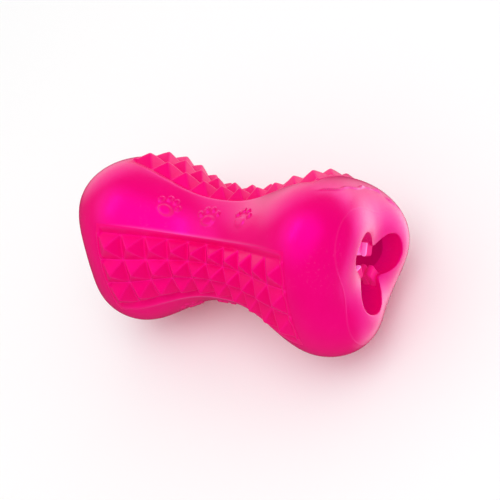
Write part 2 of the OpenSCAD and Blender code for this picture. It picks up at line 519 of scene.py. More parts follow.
@dataclass(frozen=True)
class PartingFlash:
    """The bead that the mould leaves where its halves meet, and the torn one that climbs off it."""

    height: float = 0.05 * MM
    width: float = 0.3 * MM
    # Share of painted highlight along the parting bead
    bead_light: float = 0.07
    torn_share: float = 1.0
    torn_height: float = 0.75 * MM
    torn_width: float = 0.4 * MM
    torn_from: float = 256.0
    torn_to: float = 346.0
    fade_angle: float = 12.0
    tear_pitch: float = 6.5
    tear_middle: float = 0.6
    tear_swing: float = 0.9
    wander: float = 0.9 * MM
    wander_row: float = 7.0
    climb: float = 9.2 * MM
    climb_angle: float = 36.0
    drop: float = 8.0 * MM
    drop_from: float = 331.0
    drop_angle: float = 20.0

    def torn(self, angle: float) -> float:
        """Share of the torn height at an angle around the toy.

        Args:
            angle: Angle around the toy.

        Returns:
            The share, 0 where nothing is torn.
        """
        inside = min(angle % 360 - self.torn_from, self.torn_to - angle % 360)
        tears = noise.noise(Vector((angle / self.tear_pitch, 0, 0)))
        ragged = max(0.0, min(1.0, self.tear_middle + self.tear_swing * tears))
        return self.torn_share * smooth(inside / self.fade_angle) * ragged

    def torn_place(self, angle: float) -> float:
        """Distance of the torn bead from the parting ring, less than 0 on the shoulder.

        Args:
            angle: Angle around the toy.

        Returns:
            The distance along the skin.
        """
        turn = angle % 360
        sway = noise.noise(Vector((angle / self.tear_pitch / 2, self.wander_row, 0)))
        climb = self.climb * smooth((turn - self.torn_from) / self.climb_angle)
        drop = self.drop * smooth((turn - self.drop_from) / self.drop_angle)
        return self.wander * sway - climb - drop

    def rise(self, angle: float, distance: float) -> float:
        """Height of the beads at a distance from the parting ring, along the skin.

        Args:
            angle: Angle around the toy.
            distance: Distance from the ring, more than 0 on the end face.

        Returns:
            The height.
        """
        bead = self.height * hump(distance, self.width)
        torn = self.torn(angle)
        if torn == 0:
            return bead
        aside = distance - self.torn_place(angle)
        return bead + self.torn_height * torn * hump(aside, self.torn_width)

    def light(self, angle: float, distance: float) -> float:
        """Painted highlight on the bead, and on the side of the torn one towards the mouth, standing in for
        the light that they catch.

        Args:
            angle: Angle around the toy.
            distance: Distance from the ring, more than 0 on the end face.

        Returns:
            The share of painted highlight, from 0 to 1.
        """
        aside = distance - self.torn_place(angle) - self.torn_width
        bead = self.bead_light * hump(distance, self.width)
        return max(bead, self.torn(angle) * hump(aside, self.torn_width))


class Draft:
    """A mesh under work: faces laid out on plain numbers, then warped into place."""

    def __init__(self) -> None:
        """Starts an empty mesh."""
        self.mesh = bmesh.new()

    def lay_grid(self, columns: Sequence[float], rows: Sequence[float]) -> None:
        """Lays a grid whose X is the column and whose Y is the row.

        Args:
            columns: Stations along the piece.
            rows: Stations around the piece.
        """
        half, last_column, last_row = 0.5, len(columns) - 1, len(rows) - 1
        bmesh.ops.create_grid(self.mesh, x_segments=last_column, y_segments=last_row, size=half)
        for vert in self.mesh.verts:
            column = round((vert.co.x + half) * last_column)
            row = round((vert.co.y + half) * last_row)
            vert.co = (columns[column], rows[row], 0)

    def lay_tube(self, stations: Sequence[float], steps: int, ring: bool = False) -> None:
        """Spins a line of stations into a tube whose X is the station and whose Y is the angle.

        Args:
            stations: Stations along the piece.
            steps: Number of faces around it.
            ring: Whether the last station joins the first, as in the section of a ring.
        """
        verts = [self.mesh.verts.new((number, 0, 1)) for number in range(len(stations))]
        pairs = [*pairwise(verts), (verts[-1], verts[0])] if ring else list(pairwise(verts))
        edges = [self.mesh.edges.new(pair) for pair in pairs]
        bmesh.ops.spin(
            self.mesh,
            geom=[*verts, *edges],
            cent=(0, 0, 0),
            axis=(1, 0, 0),
            angle=2 * math.pi,
            steps=steps,
            use_merge=True,
        )
        for vert in self.mesh.verts:
            step = round(math.atan2(-vert.co.y, vert.co.z) / (2 * math.pi) * steps)
            vert.co = (stations[round(vert.co.x)], 360 * step / steps, 0)

    def warp(self, surface: Surface, verts: Sequence[bmesh.types.BMVert] | None = None) -> None:
        """Moves laid-out points onto a surface and notes their painted highlight and painted glow.

        Args:
            surface: Gives the spot of each pair of stations.
            verts: The points to move, or none for all.
        """
        light, glow = self._layers()
        for vert in verts or self.mesh.verts:
            spot = surface(vert.co.x, vert.co.y)
            vert.co = spot.place
            vert[light], vert[glow] = spot.light, spot.glow

    def _layers(self) -> list[bmesh.types.BMLayerItem]:
        """Layers of the mesh that hold the painted highlight and the painted glow of its points."""
        layers = self.mesh.verts.layers.float
        return [layers.get(name) or layers.new(name) for name in (PAINTED_HIGHLIGHT_LAYER, PAINTED_GLOW_LAYER)]

    def wrap(self, skin: Surface, lining: Surface) -> None:
        """Makes the laid-out faces a closed shell between a skin and a lining.

        Args:
            skin: The outer surface.
            lining: The inner surface.
        """
        self._layers()
        made = bmesh.ops.extrude_face_region(
            self.mesh, geom=[*self.mesh.faces, *self.mesh.edges], use_keep_orig=True
        )
        outer = {item for item in made["geom"] if isinstance(item, bmesh.types.BMVert)}
        inner = [vert for vert in self.mesh.verts if vert not in outer]
        self.warp(skin, list(outer))
        self.warp(lining, inner)

    def finish(self, name: str) -> bpy.types.Object:
        """Closes the seams, turns the faces outwards and makes the object.

        Args:
            name: Name of the piece.

        Returns:
            The finished object, at the origin.
        """
        bmesh.ops.remove_doubles(self.mesh, verts=self.mesh.verts, dist=MERGE_DISTANCE)
        bmesh.ops.dissolve_degenerate(self.mesh, edges=self.mesh.edges, dist=MERGE_DISTANCE)
        bmesh.ops.recalc_face_normals(self.mesh, faces=self.mesh.faces)
        for face in self.mesh.faces:
            face.smooth = True
        for edge in self.mesh.edges:
            edge.smooth = edge.calc_face_angle(0.0) < SHARP_ANGLE
        data = bpy.data.meshes.new(name)
        self.mesh.to_mesh(data)
        self.mesh.free()
        return add_object(data)


class Wire:
    """A node's output, on which values are worked out with plain operators."""

    def __init__(self, bench: "Bench", socket: bpy.types.NodeSocket) -> None:
        """Wraps a socket of a bench's node tree."""
        self.bench = bench
        self.socket = socket

    def __add__(self, other: Any) -> "Wire":
        """This plus the other."""
        return self.bench.math("ADD", self, other)

    def __radd__(self, other: Any) -> "Wire":
        """The other plus this."""
        return self.bench.math("ADD", other, self)

    def __sub__(self, other: Any) -> "Wire":
        """This less the other."""
        return self.bench.math("SUBTRACT", self, other)

    def __rsub__(self, other: Any) -> "Wire":
        """The other less this."""
        return self.bench.math("SUBTRACT", other, self)

    def __mul__(self, other: Any) -> "Wire":
        """This times the other."""
        return self.bench.math("MULTIPLY", self, other)

    def __rmul__(self, other: Any) -> "Wire":
        """The other times this."""
        return self.bench.math("MULTIPLY", other, self)


class Bench:
    """Builds the nodes of one material, or of the world."""

    def __init__(self, name: str, owner: bpy.types.World | None = None) -> None:
        """Empties the node tree of the owner, or of a new material.

        Args:
            name: Name of the material.
            owner: The world, or none for a material.
        """
        self.owner = owner or bpy.data.materials.new(name)
        self.owner.use_nodes = True
        self.tree = self.owner.node_tree
        self.tree.nodes.clear()

    def node(self, kind: str, settings: Values = None, inputs: Values = None) -> bpy.types.Node:
        """Adds a node.

        Args:
            kind: Type of the node.
            settings: Properties, and the stops of a ramp under the name stops.
            inputs: Value, wire or socket for each input, by its name or number.

        Returns:
            The new node.
        """
        made = self.tree.nodes.new(kind)
        for name, value in (settings or {}).items():
            if name == "stops":
                self._set_stops(made.color_ramp, value)
            else:
                setattr(made, name, value)
        for name, value in (inputs or {}).items():
            plug = value.socket if isinstance(value, Wire) else value
            if isinstance(plug, bpy.types.NodeSocket):
                self.tree.links.new(plug, made.inputs[name])
            else:
                made.inputs[name].default_value = plug
        return made

    def wire(
        self, kind: str, output: str | int, settings: Values = None, inputs: Values = None
    ) -> Wire:
        """Adds a node and gives one of its outputs as a wire."""
        return Wire(self, self.node(kind, settings, inputs).outputs[output])

    def math(self, operation: str, first: Any, second: Any) -> Wire:
        """Wire of a Math node over two values."""
        settings = {"operation": operation}
        return self.wire("ShaderNodeMath", "Value", settings, {0: first, 1: second})

    def ramp(self, value: Wire, start: float, full: float) -> Wire:
        """Wire that rises smoothly from 0 to 1 while a value goes from start to full."""
        settings = {"stops": [(start, (0, 0, 0, 1)), (full, (1, 1, 1, 1))]}
        return self.wire("ShaderNodeValToRGB", "Color", settings, {"Fac": value})

    def mix(self, share: Any, low: Any, high: Any) -> Wire:
        """Colour that lies the given share of the way from low to high."""
        inputs = {MIX_SHARE: share, MIX_LOW_COLOUR: low, MIX_HIGH_COLOUR: high}
        return self.wire("ShaderNodeMix", MIX_COLOUR_RESULT, {"data_type": "RGBA"}, inputs)

    def noise(self, scale: float, detail: float, rough: float = 0.5) -> Wire:
        """Noise over the object's own coordinates.

        Args:
            scale: Clouds to the metre.
            detail: Number of finer layers.
            rough: How strong the finer layers are.

        Returns:
            The wire of the noise, about one half on average.
        """
        coords = self.wire("ShaderNodeTexCoord", "Object")
        inputs = {"Vector": coords, "Scale": scale, "Detail": detail, "Roughness": rough}
        return self.wire("ShaderNodeTexNoise", "Fac", inputs=inputs)

    def layer(self, name: str) -> Wire:
        """Wire of a value that the points of the mesh hold."""
        settings = {"attribute_name": name, "attribute_type": "GEOMETRY"}
        return self.wire("ShaderNodeAttribute", "Fac", settings)

    @staticmethod
    def _set_stops(ramp: bpy.types.ColorRamp, stops: Sequence[tuple[float, Any]]) -> None:
        """Sets the two stops of a ramp and makes the way between them smooth.

        Args:
            ramp: The ramp.
            stops: Place and colour of each stop.
        """
        ramp.interpolation = "EASE"
        for element, (place, colour) in zip(ramp.elements, stops):
            element.position = place
            element.color = colour

    def close(self, shader: bpy.types.Node) -> bpy.types.Material:
        """Joins the shader to the material's surface and gives the material."""
        self.node("ShaderNodeOutputMaterial", inputs={"Surface": shader.outputs[0]})
        return self.owner


@dataclass(frozen=True)
class Patches:
    """Soft patches over the object's own coordinates, their scale in clouds to the metre."""

    scale: float
    detail: float
    start: float
    full: float
    rough: float = 0.5

    def over(self, bench: Bench) -> Wire:
        """Wire that is 0 between the patches and 1 inside them."""
        return bench.ramp(bench.noise(self.scale, self.detail, self.rough), self.start, self.full)


@dataclass(frozen=True)
class RubberFinish:
    """Glossy moulded rubber, its colours in linear light, with a painted highlight colour and a painted
    glow.
    """

    name: str
    slot: str
    colour: Colour
    deep_colour: Colour
    # Colour painted on edges, ridges and tips as highlights, and how much of it is mixed in
    painted_highlight_colour: Colour
    edge_share: float = 0.35
    gloss_tint: Colour = (0.6, 0.006, 1.0)
    roughness: float = 0.24
    ior: float = 1.75
    # Colour of the painted glow, an emission that stands in for light through the rubber
    painted_glow_colour: Colour = (0.08, 0.0, 0.05)
    clouds: Patches = Patches(34.0, 3.0, 0.32, 0.68)
    gloss_swing: float = 0.03
    worn: Patches = Patches(68.0, 2.0, 0.5, 0.72)
    specks: Patches = Patches(950.0, 4.0, 0.56, 0.68, 0.7)
    scuff_colour: Colour = (1.0, 0.12, 0.42)
    scuff_share: float = 0.12
    grain_scale: float = 2400.0
    grain_detail: float = 2.0
    grain_height: float = 0.03 * MM
    grain_strength: float = 0.5

    def build(self) -> bpy.types.Material:
        """Makes the material.

        Returns:
            The rubber, with clouds of depth, scuffs, painted highlights on its edges, a fine grain and
            a painted glow, an emission that stands in for light coming through its walls.
        """
        bench = Bench(self.name)
        clouds = self.clouds.over(bench)
        scuffs = self.worn.over(bench) * self.specks.over(bench)
        # The painted highlight layer and the painted glow layer
        edge, glow = bench.layer(PAINTED_HIGHLIGHT_LAYER), bench.layer(PAINTED_GLOW_LAYER)
        body = bench.mix(clouds, (*self.deep_colour, 1), (*self.colour, 1))
        scuffed = bench.mix(scuffs * self.scuff_share, body, (*self.scuff_colour, 1))
        grain = {
            "Height": bench.noise(self.grain_scale, self.grain_detail),
            "Distance": self.grain_height,
            "Strength": self.grain_strength,
        }
        looks = {
            # Painted highlight: a lighter colour mixed into the base colour on edges, ridges and tips
            "Base Color": bench.mix(edge * self.edge_share, scuffed, (*self.painted_highlight_colour, 1)),
            "Roughness": (self.roughness + self.gloss_swing / 2) - clouds * self.gloss_swing,
            "Normal": bench.wire("ShaderNodeBump", "Normal", inputs=grain),
            "IOR": self.ior,
            "Specular Tint": (*self.gloss_tint, 1),
            # Painted glow: an emission that stands in for light through the rubber, brightening insides and
            # valleys
            "Emission Color": bench.mix(glow, (0, 0, 0, 1), (*self.painted_glow_colour, 1)),
            "Emission Strength": 1.0,
        }
        return bench.close(bench.node("ShaderNodeBsdfPrincipled", inputs=looks))


@dataclass(frozen=True)
class RimHighlight:
    """Painted highlight along a rolled edge, standing in for the light it catches, in shares of the way over
    its roll.
    """

    middle: float
    width: float
    strength: float

    def light(self, share: float) -> float:
        """Share of painted highlight at a point."""
        return self.strength * hump(share - self.middle, self.width)


@dataclass
class Shell:
    """The moulded shell of the toy: bands, panels of studs, shoulders and mouth rings."""

    form: BoneForm
    smooth_finish: RubberFinish
    stud_finish: RubberFinish
    stud: Stud = Stud()
    relief: PawRelief = PawRelief()
    right_flash: PartingFlash = PartingFlash()
    left_flash: PartingFlash = PartingFlash(torn_share=0.0)
    stud_steps: int = 22
    end_steps: int = 10
    side_steps: int = 12
    band_edge_steps: int = 9
    band_steps: int = 54
    around_steps: int = 432
    shoulder_steps: int = 72
    bead_steps: int = 12
    face_steps: int = 40
    edge_steps: int = 7
    collar_steps: int = 12
    lining_steps: int = 16
    bead_part: float = 0.06
    edge_rows: float = 0.5
    roll_from: float = 7.82
    end_roll_from: float = 8.3
    roll_to: float = 9.0
    # Painted highlights on the rolled edges of the panels, and painted light in the valleys between studs
    # that lifts their shade
    side_rim: RimHighlight = RimHighlight(0.12, 0.26, 0.6)
    end_rim: RimHighlight = RimHighlight(0.12, 0.22, 0.5)
    valley_light: float = 0.6
    stud_overrun: float = 0.25 * MM
    scallop: float = 0.9 * MM
    scallop_power: float = 3.0
    edge_setback: float = 0.12 * MM
    lip_round: float = 0.35 * MM
    mouth_round: float = 0.45 * MM
    seat_half: float = 4.0 * MM

    def build(self) -> list[bpy.types.Object]:
        """Builds every piece of the shell.

        Returns:
            The pieces, each riding on the shell in place of its solid.
        """
        sets = (
            ("band", Lobe, self._band, self.smooth_finish),
            ("stud_panel", Hollow, self._panel, self.stud_finish),
            ("shoulder", Side, self._shoulder, self.smooth_finish),
            ("mouth_ring", Side, self._mouth_ring, self.smooth_finish),
        )
        rubbers = {finish: finish.build() for finish in (self.smooth_finish, self.stud_finish)}
        pieces = []
        for part, places, make, finish in sets:
            for place in places:
                node = f"{part}_{place.name.lower()}"
                piece = make(place).finish(f"moulded_{node}")
                piece.data.materials.append(rubbers[finish])
                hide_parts(node)
                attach(piece, "shell")
                pieces.append(piece)
        return pieces

    def _columns(self) -> list[float]:
        """Stations along a band or a panel, closer together at its ends.

        Returns:
            The columns, from one shoulder to the other.
        """
        last = self.form.stud_columns
        return ruler(
            (-last - 1, -last, self.end_steps),
            (-last, last, last * self.stud_steps),
            (last, last + 1, self.end_steps),
        )

    def _row_cell(self, row: float) -> float:
        """Place of a row inside its row of studs, from -1 to 1."""
        inside = min(max(row, self.form.first_stud_row), self.form.last_stud_row)
        return (inside - self.form.first_stud_row) % 2 - 1

    def _column_cell(self, column: float, x: float) -> float:
        """Place inside a column of studs, from -1 to 1, the last stud reaching to the shoulder.

        Args:
            column: Column of the point.
            x: Its place along the toy.

        Returns:
            The place in the cell.
        """
        form = self.form
        last_tip = form.stud_columns - 1
        if abs(column) <= last_tip:
            return column % 2 - 1
        tip_x = form.column_x(last_tip)
        return (abs(x) - tip_x) / (form.full_x + self.stud_overrun - tip_x)

    def _sunk(self, x: float, row: float) -> tuple[float, float]:
        """How far the skin sinks at a point of a third, and its painted highlight along the rolled edges.

        Args:
            x: Place along the toy.
            row: Station around a third, where the bands roll over into the panels.

        Returns:
            Share of the recess, and share of the painted highlight.
        """
        form = self.form
        over = form.last_stud_row + 1
        folded = min(row if row > form.band_rows / 2 else row + over, 2 * over)
        inwards = min(folded, over + form.band_rows - folded)
        roll_from = blend(self.roll_from, self.end_roll_from, form.end_share(x))
        side = (inwards - roll_from) / (self.roll_to - roll_from)
        cell = self._row_cell(row)
        edge_x = form.full_x - self.edge_setback - self.scallop * abs(cell) ** self.scallop_power
        end = (edge_x - abs(x)) / form.end_step
        # Painted highlight along the rolled side edges and the end edges of the panels
        rim = max(self.side_rim.light(side) * smooth(end), self.end_rim.light(end) * smooth(side))
        return smooth(side) * smooth(end), rim

    def _third(self, lobe: int) -> Surface:
        """Outer surface of the third of the body that starts at a lobe.

        Args:
            lobe: Number of the lobe.

        Returns:
            The surface over columns and rows.
        """
        form = self.form
        middle = form.band_rows / 2

        def surface(column: float, row: float) -> Spot:
            """Spot of the outer surface.

            Args:
                column: Column of the point.
                row: Its station around the third.

            Returns:
                The spot.
            """
            x = form.column_x(column)
            angle = form.row_angle(x, lobe, row)
            skin = form.skin_radius(x, angle)
            share = form.end_share(x)
            # Share of painted highlight from the rolled edges; no painted glow to start with
            sunk, light = self._sunk(x, row)
            radius = skin - sunk * blend(form.waist_recess, form.end_recess, share)
            glow = 0.0
            if row < form.band_rows:
                arc = math.radians(angle - form.row_angle(x, lobe, middle)) * skin
                radius += self.relief.rise(x, arc)
                # Painted highlight on the rounded edges of the paw prints
                light = max(light, self.relief.glint * self.relief.light(x, arc))
            if form.first_stud_row < row < form.last_stud_row:
                along, across = self._column_cell(column, x), self._row_cell(row)
                tall = blend(form.waist_stud_h, form.end_stud_h, share)
                radius += tall * self.stud.height(along, across)
                # Painted glow and painted light in the valleys between studs lift the shade there; painted
                # highlight on ridges and tips
                glow = self.stud.valley(along, across)
                light = max(light, self.stud.light(along, across), self.valley_light * glow)
            return Spot(form.at(x, radius, angle), light, glow)

        return surface

    def _third_lining(self, lobe: int) -> Surface:
        """Inner surface of the third of the body that starts at a lobe.

        Args:
            lobe: Number of the lobe.

        Returns:
            The surface over columns and rows.
        """
        form = self.form

        def lining(column: float, row: float) -> Spot:
            """Spot of the inner surface.

            Args:
                column: Column of the point.
                row: Its station around the third.

            Returns:
                The spot.
            """
            x = form.column_x(column)
            angle = form.row_angle(x, lobe, row)
            # The lining carries full painted glow, an emission that brightens the inside of the shell
            return Spot(form.at(x, form.skin_radius(x, angle) - form.wall, angle), glow=1.0)

        return lining

    def _band(self, lobe: Lobe) -> Draft:
        """Smooth band over a lobe, its edges rolled over towards the panels.

        Args:
            lobe: The lobe.

        Returns:
            The closed mesh.
        """
        last = self.form.band_rows
        return self._strip(
            lobe.value,
            (0, self.edge_rows, self.band_edge_steps),
            (self.edge_rows, last - self.edge_rows, self.band_steps),
            (last - self.edge_rows, last, self.band_edge_steps),
        )

    def _panel(self, hollow: Hollow) -> Draft:
        """Sunk panel of studs after a lobe, with the slopes that lead down to it.

        Args:
            hollow: The hollow that it lies in.

        Returns:
            The closed mesh.
        """
        form = self.form
        return self._strip(
            hollow.value,
            (form.band_rows, form.first_stud_row, self.side_steps),
            (form.first_stud_row, form.last_stud_row, form.stud_rows * self.stud_steps),
            (form.last_stud_row, form.last_stud_row + 1, self.side_steps),
        )

    def _strip(self, lobe: int, *stretches: tuple[float, float, int]) -> Draft:
        """Closed strip along the body, over stretches of rows in the third at a lobe.

        Args:
            lobe: Number of the lobe.
            stretches: First row, last row and steps of each stretch.

        Returns:
            The closed mesh.
        """
        draft = Draft()
        draft.lay_grid(self._columns(), ruler(*stretches))
        draft.wrap(self._third(lobe), self._third_lining(lobe))
        return draft

    def _flash(self, side: Side) -> PartingFlash:
        """Flash that the mould left at one end."""
        return self.right_flash if side is Side.RIGHT else self.left_flash

    def _shoulder(self, side: Side) -> Draft:
        """Rounded shoulder from the panels out to the parting ring.

        Args:
            side: End of the toy.

        Returns:
            The closed mesh.
        """
        form, flash = self.form, self._flash(side)

        def skin(share: float, angle: float) -> Spot:
            """Spot of the shoulder, with its half of the parting bead.

            Args:
                share: Way out, from the panels, 0, to the ring, 1.
                angle: Angle around the toy.

            Returns:
                The spot.
            """
            turn = form.ring_turn(angle) * share
            past = (share - 1) * form.ring_turn(angle) * form.reach(angle)
            x, radius = form.section(angle, turn, lift=flash.rise(angle, past))
            return Spot(form.at(side.value * x, radius, angle), flash.light(angle, past))

        def lining(share: float, angle: float) -> Spot:
            """Spot of the lining.

            Args:
                share: Way out, from the panels, 0, to the ring, 1.
                angle: Angle around the toy.

            Returns:
                The spot.
            """
            turn = form.ring_turn(angle) * share
            x, radius = form.section(angle, turn, form.collar_depth, form.wall)
            # The lining carries full painted glow, an emission that brightens the inside of the shell
            return Spot(form.at(side.value * x, radius, angle), glow=1.0)

        bead = 1 - self.bead_part
        stations = ruler((0, bead, self.shoulder_steps), (bead, 1, self.bead_steps))
        draft = Draft()
        draft.lay_tube(stations, self.around_steps)
        draft.wrap(skin, lining)
        return draft

    def _seat_radius(self, angle: float) -> float:
        """Radius of the collar behind the lip, with the flat seats of the fins cut into it.

        Args:
            angle: Angle around the toy.

        Returns:
            The radius.
        """
        off = math.radians(abs((angle % self.form.pitch) - self.form.pitch / 2))
        flat = self.form.seat_r / math.cos(off)
        side = self.seat_half / max(math.sin(off), TINY_SHARE)
        return max(self.form.mouth_radius(angle), min(flat, side))

    def _bend(self, angle: float) -> float:
        """Radius of the soft edge of the mouth."""
        return blend(self.lip_round, self.mouth_round, self.form.lobe_share(angle, 1))

    def _mouth_ring(self, side: Side) -> Draft:
        """End face inside the parting ring, its mouth with a soft edge and a thick collar.

        Args:
            side: End of the toy.

        Returns:
            The closed mesh.
        """
        form, flash = self.form, self._flash(side)

        def skin(share: float, angle: float) -> Spot:
            """Spot on the end face, share 0 at the parting ring and 1 at the mouth's edge.

            Args:
                share: Way in over the face.
                angle: Angle around the toy.

            Returns:
                The spot.
            """
            start = form.ring_turn(angle)
            stop = form.turn_at(form.mouth_radius(angle) + self._bend(angle), angle)
            turn = blend(start, stop, share)
            past = (turn - start) * form.reach(angle)
            x, radius = form.section(angle, turn, lift=flash.rise(angle, past))
            return Spot(form.at(side.value * x, radius, angle), flash.light(angle, past))

        def edge(share: float, angle: float) -> Spot:
            """Spot on the rounded edge of the mouth.

            Args:
                share: Way round the edge, from the face, 0, to the lip, 1.
                angle: Angle around the toy.

            Returns:
                The spot.
            """
            mouth, bend = form.mouth_radius(angle), self._bend(angle)
            start = Vector(form.section(angle, form.turn_at(mouth + bend, angle)))
            corner = Vector(form.section(angle, form.turn_at(mouth, angle)))
            stop = corner - Vector((bend, 0))
            bowed = start.lerp(corner, share).lerp(corner.lerp(stop, share), share)
            return Spot(form.at(side.value * bowed.x, bowed.y, angle))

        def collar(share: float, angle: float) -> Spot:
            """Spot inside the mouth, along the lip and then along the collar behind it.

            Args:
                share: Way in, 0 to 1 along the lip and 1 to 2 along the collar.
                angle: Angle around the toy.

            Returns:
                The spot.
            """
            mouth, seat = form.mouth_radius(angle), self._seat_radius(angle)
            front = form.section(angle, form.turn_at(mouth, angle))[0] - self._bend(angle)
            lip = min(front, form.lip_x)
            turn = form.turn_at(seat, angle, form.wall)
            back = form.section(angle, turn, form.collar_depth, form.wall)[0]
            behind = share >= 1
            x = blend(lip, back, share - 1) if behind else blend(front, lip, share)
            place = form.at(side.value * x, seat if behind else mouth, angle)
            # Painted glow rises from the lip into the collar, brightening the inside of the mouth
            return Spot(place, glow=smooth(share / 2))

        def lining(share: float, angle: float) -> Spot:
            """Spot on the lining, share 0 behind the collar and 1 at the parting ring.

            Args:
                share: Way out over the lining.
                angle: Angle around the toy.

            Returns:
                The spot.
            """
            start = form.turn_at(self._seat_radius(angle), angle, form.wall)
            turn = blend(start, form.ring_turn(angle), share)
            x, radius = form.section(angle, turn, form.collar_depth, form.wall)
            # The lining carries full painted glow, an emission that brightens the inside of the shell
            return Spot(form.at(side.value * x, radius, angle), glow=1.0)

        bead = self.bead_part
        # The collar starts with the back of the lip, just before it steps out to the seats
        stretches = (
            (skin, ruler((0, bead, self.bead_steps), (bead, 1, self.face_steps))),
            (edge, ruler((0, 1, self.edge_steps))[1:]),
            (collar, [1 - TINY_SHARE, *ruler((1, 2, self.collar_steps))]),
            (lining, ruler((0, 1, self.lining_steps))[1:]),
        )
        stations = [(surface, share) for surface, shares in stretches for share in shares]

        def section(station: float, angle: float) -> Spot:
            """Spot of the whole closed section of the ring, by the number of its station."""
            surface, share = stations[round(station)]
            return surface(share, angle)

        draft = Draft()
        draft.lay_tube(range(len(stations)), self.around_steps, ring=True)
        draft.warp(section)
        return draft


@dataclass
class Fins:
    """The soft fins in both mouths, in pairs that hold the treats back."""

    form: BoneForm
    finish: RubberFinish
    thickness: float = 2.2 * MM
    width: float = 4 * MM
    gap: float = 0.6 * MM
    play: float = 0.3 * MM
    clear_r: float = 3 * MM
    root_sink: float = 0.25 * MM
    root_flare: float = 0.28
    flare_h: float = 1.3 * MM
    corner_r: float = 0.45 * MM
    squareness: float = 0.34
    # Painted highlight on the up-facing sides of the fins in the side hollows, below a height, and the
    # painted glow that every fin has
    painted_highlight_h: float = 4.7 * MM
    painted_highlight_fade: float = 0.25 * MM
    painted_highlight_from: tuple[float, float] = (0.7, -0.3)
    even_painted_glow: float = 0.3
    around_steps: int = 48
    tip_steps: int = 12
    tongue_steps: int = 26

    @property
    def full_h(self) -> float:
        """Height of a fin from its tip to its sunk root."""
        return self.form.seat_r + self.root_sink - self.clear_r

    def build(self) -> list[bpy.types.Object]:
        """Builds the fins, each bending from its root on the shell to its own body."""
        rubber = self.finish.build()
        return [self._fin(*place, rubber) for place in product(Side, Hollow, Layer)]

    def _place_x(self, layer: Layer) -> float:
        """Distance of a fin's middle from the middle of the toy."""
        outer = self.form.lip_x - self.play - self.thickness / 2
        return outer - layer.value * (self.thickness + self.gap)

    def _half_sizes(self, height: float) -> tuple[float, float]:
        """Half thickness and half width of a fin at a height over its tip.

        Args:
            height: Height over the tip.

        Returns:
            Half the thickness and half the width there.
        """
        half_t = self.thickness / 2
        flare = 1 + self.root_flare * (1 - smooth((self.full_h - height) / self.flare_h))
        in_tip = max(0.0, half_t - height)
        in_corner = max(0.0, self.corner_r - height)
        thick = math.sqrt(max(0.0, half_t**2 - in_tip**2))
        corner = self.corner_r - math.sqrt(max(0.0, self.corner_r**2 - in_corner**2))
        return thick * flare, (self.width / 2 - corner) * flare

    def _fin(
        self, side: Side, hollow: Hollow, layer: Layer, rubber: bpy.types.Material
    ) -> bpy.types.Object:
        """Builds a fin.

        Args:
            side: End of the toy.
            hollow: Hollow that it stands under.
            layer: Its place in the pair.
            rubber: Its material.

        Returns:
            The piece.
        """
        form = self.form
        node = f"fin_{side.name}_{hollow.name}_{layer.name}".lower()
        angle = form.pitch * (hollow.value + 0.5)
        middle_x = side.value * self._place_x(layer)
        along = Vector((1, 0, 0))
        across = along.cross(form.at(0, 1, angle) - form.at(0, 0, angle))

        def tongue(height: float, turn: float) -> Spot:
            """Spot of the fin at a height over its tip, around its rounded section.

            Args:
                height: Height over the tip.
                turn: Angle around the section.

            Returns:
                The spot.
            """
            half_t, half_w = self._half_sizes(height)
            bow = math.cos(math.radians(turn)), math.sin(math.radians(turn))
            square = [math.copysign(abs(value) ** self.squareness, value) for value in bow]
            middle = form.at(middle_x, self.clear_r + height, angle)
            aside = along * half_t * square[0] + across * half_w * square[1]
            # Painted highlight: the up-facing side of a fin in a side hollow is paler and glows more, as
            # light from above would make it
            low = smooth((self.painted_highlight_h - height) / self.painted_highlight_fade)
            faces_up = across.z * square[1] > self.painted_highlight_from[layer.value]
            pale = low * (faces_up and hollow is not Hollow.BASE)
            return Spot(middle + aside, pale, blend(self.even_painted_glow, 1.0, pale))

        tip = self.thickness / 2
        heights = ruler((0, tip, self.tip_steps), (tip, self.full_h, self.tongue_steps))
        draft = Draft()
        draft.lay_tube(heights, self.around_steps)
        draft.warp(tongue)
        open_edges = [edge for edge in draft.mesh.edges if edge.is_boundary]
        bmesh.ops.holes_fill(draft.mesh, edges=open_edges, sides=0)
        piece = draft.finish(f"soft_{node}")
        piece.data.materials.append(rubber)
        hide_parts(node)
        root_r = form.seat_r - self.play
        root = form.at(middle_x, root_r, angle)
        free = form.at(middle_x, root_r - self.thickness, angle)
        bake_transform(piece, "shell", node, start=root, end=free)
        return piece


